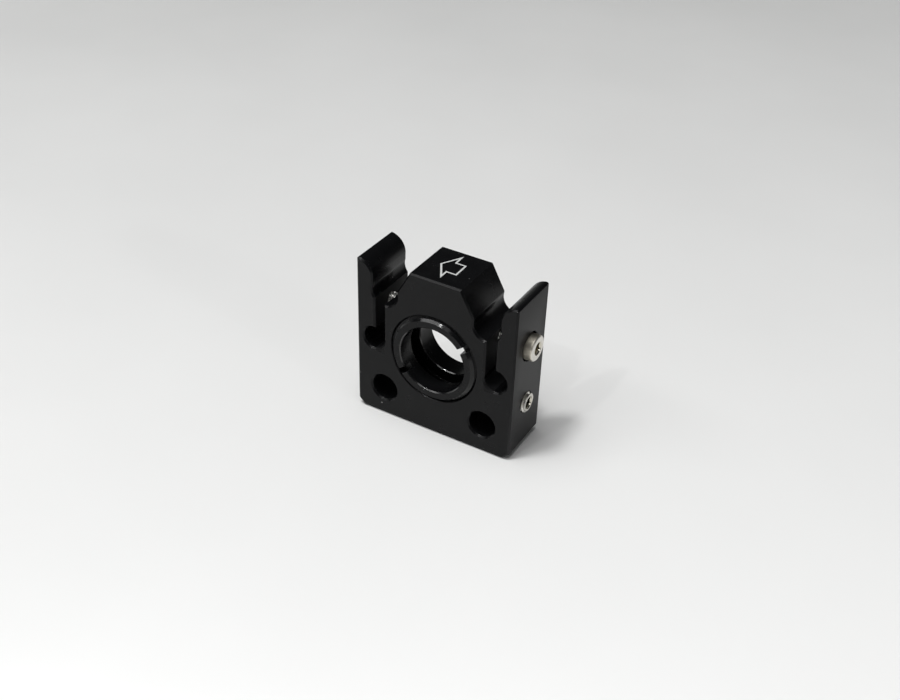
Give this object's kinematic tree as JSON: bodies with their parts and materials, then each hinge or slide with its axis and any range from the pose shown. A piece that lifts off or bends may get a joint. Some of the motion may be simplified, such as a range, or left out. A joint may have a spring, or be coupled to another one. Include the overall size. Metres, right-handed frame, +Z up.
{
  "type": "optical lens mount",
  "caption": "Square cage plate with a round lens bore and threaded retaining ring, snap-in rod seats on sprung clamping arms above and set-screw rod bores below.",
  "frame": {"origin": "on the optical axis, in the plane of the plate's front face", "axes": "+Y along the optical axis from the front face to the back, +Z up from the base to the open rod seats, +X to the right seen from the front"},
  "size_m": [0.0272, 0.0092, 0.025],
  "materials": {
    "plate_anodised": "black anodised, finely blasted, satin",
    "ring_anodised": "black anodised over a turned surface",
    "screw_stainless": "bright stainless steel, turned and tumbled"
  },
  "bodies": {
    "plate": {"cage_plate": "plate_anodised"},
    "ring": {"retaining_ring": "ring_anodised"},
    "clamp_left": {"clamp_screw_left": "screw_stainless"},
    "clamp_right": {"clamp_screw_right": "screw_stainless"},
    "set_left": {"set_screw_left": "screw_stainless"},
    "set_right": {"set_screw_right": "screw_stainless"}
  },
  "joints": [
    {"name": "ring_turn", "type": "hinge", "parent": "plate", "child": "ring", "pos_m": [0, 0, 0], "axis": [0, 1, 0], "range_deg": [-915, 1285]},
    {"name": "clamp_left_turn", "type": "hinge", "parent": "plate", "child": "clamp_left", "pos_m": [-0.0116, 0.0044, 0.0044], "axis": [1, 0, 0], "range_deg": [-935, 90]},
    {"name": "clamp_right_turn", "type": "hinge", "parent": "plate", "child": "clamp_right", "pos_m": [0.0116, 0.0044, 0.0044], "axis": [-1, 0, 0], "range_deg": [-935, 90]},
    {"name": "set_left_turn", "type": "hinge", "parent": "plate", "child": "set_left", "pos_m": [-0.01, 0.0044, -0.00495], "axis": [1, 0, 0], "range_deg": [-1750, 120]},
    {"name": "set_right_turn", "type": "hinge", "parent": "plate", "child": "set_right", "pos_m": [0.01, 0.0044, -0.00495], "axis": [-1, 0, 0], "range_deg": [-1750, 120]}
  ]
}
